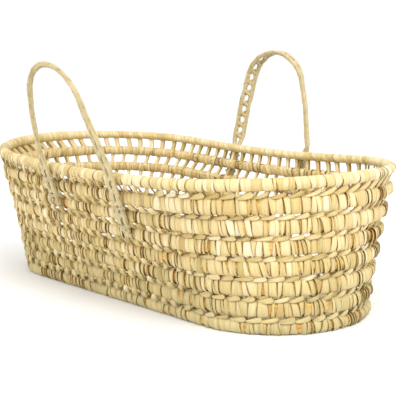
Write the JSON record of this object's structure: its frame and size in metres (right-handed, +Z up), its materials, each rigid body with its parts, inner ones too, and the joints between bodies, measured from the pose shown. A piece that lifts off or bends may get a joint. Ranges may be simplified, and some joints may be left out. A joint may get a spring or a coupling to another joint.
{
  "type": "baby cradle basket",
  "caption": "Open oval cradle basket of wrapped palm-leaf rows laced one above another, with a thick rim roll and plaited loop handles sewn to its long sides.",
  "frame": {"origin": "on the floor under the middle of the base, on the flat underside of the centre bundle", "axes": "+Z up, +X along the basket's length, -Y towards the front handle"},
  "size_m": [0.8394, 0.5518, 0.4201],
  "materials": {
    "leaf_stem": "dry golden leaf-stem bundle",
    "leaf_strip": "dry pale straw leaf strips, satin",
    "rim_leaf": "tight pale leaf wrapping, satin",
    "lacing_leaf": "twisted leaf strips, matte",
    "plaited_leaf": "plaited grey-green straw leaf, matte",
    "twine": "thin natural twine, matte"
  },
  "bodies": {
    "basket": {"base_center_core": "leaf_stem", "base_center_wrap": "leaf_strip", "base_row_1_core": "leaf_stem", "base_row_2_core": "leaf_stem", "base_row_3_core": "leaf_stem", "base_row_4_core": "leaf_stem", "base_row_1_wrap": "leaf_strip", "base_row_2_wrap": "leaf_strip", "base_row_3_wrap": "leaf_strip", "base_row_4_wrap": "leaf_strip", "base_lacing_0": "lacing_leaf", "base_lacing_1": "lacing_leaf", "base_lacing_2": "lacing_leaf", "base_lacing_3": "lacing_leaf", "base_lacing_4": "lacing_leaf", "wall_row_1_core": "leaf_stem", "wall_row_2_core": "leaf_stem", "wall_row_3_core": "leaf_stem", "wall_row_4_core": "leaf_stem", "wall_row_5_core": "leaf_stem", "wall_row_6_core": "leaf_stem", "wall_row_7_core": "leaf_stem", "wall_row_1_wrap": "leaf_strip", "wall_row_2_wrap": "leaf_strip", "wall_row_3_wrap": "leaf_strip", "wall_row_4_wrap": "leaf_strip", "wall_row_5_wrap": "leaf_strip", "wall_row_6_wrap": "leaf_strip", "wall_row_7_wrap": "leaf_strip", "rim_lacing": "lacing_leaf", "wall_lacing_1": "lacing_leaf", "wall_lacing_2": "lacing_leaf", "wall_lacing_3": "lacing_leaf", "wall_lacing_4": "lacing_leaf", "wall_lacing_5": "lacing_leaf", "wall_lacing_6": "lacing_leaf", "rim_core": "leaf_stem", "rim_wrap": "rim_leaf", "front_left_sewn_end": "plaited_leaf", "front_left_tie": "twine", "front_right_sewn_end": "plaited_leaf", "front_right_tie": "twine", "rear_left_sewn_end": "plaited_leaf", "rear_left_tie": "twine", "rear_right_sewn_end": "plaited_leaf", "rear_right_tie": "twine"},
    "front_handle": {"front_handle_inner_strand": "plaited_leaf", "front_handle_outer_strand": "plaited_leaf", "front_handle_cross_strands": "plaited_leaf"},
    "rear_handle": {"rear_handle_inner_strand": "plaited_leaf", "rear_handle_outer_strand": "plaited_leaf", "rear_handle_cross_strands": "plaited_leaf"}
  },
  "joints": [
    {"name": "front_handle_bend", "type": "hinge", "parent": "basket", "child": "front_handle", "pos_m": [0, -0.23427, 0.2425], "axis": [1, 0, 0], "range_deg": [-97, 83]},
    {"name": "rear_handle_bend", "type": "hinge", "parent": "basket", "child": "rear_handle", "pos_m": [0, 0.23427, 0.2425], "axis": [-1, 0, 0], "range_deg": [-83, 97]}
  ]
}
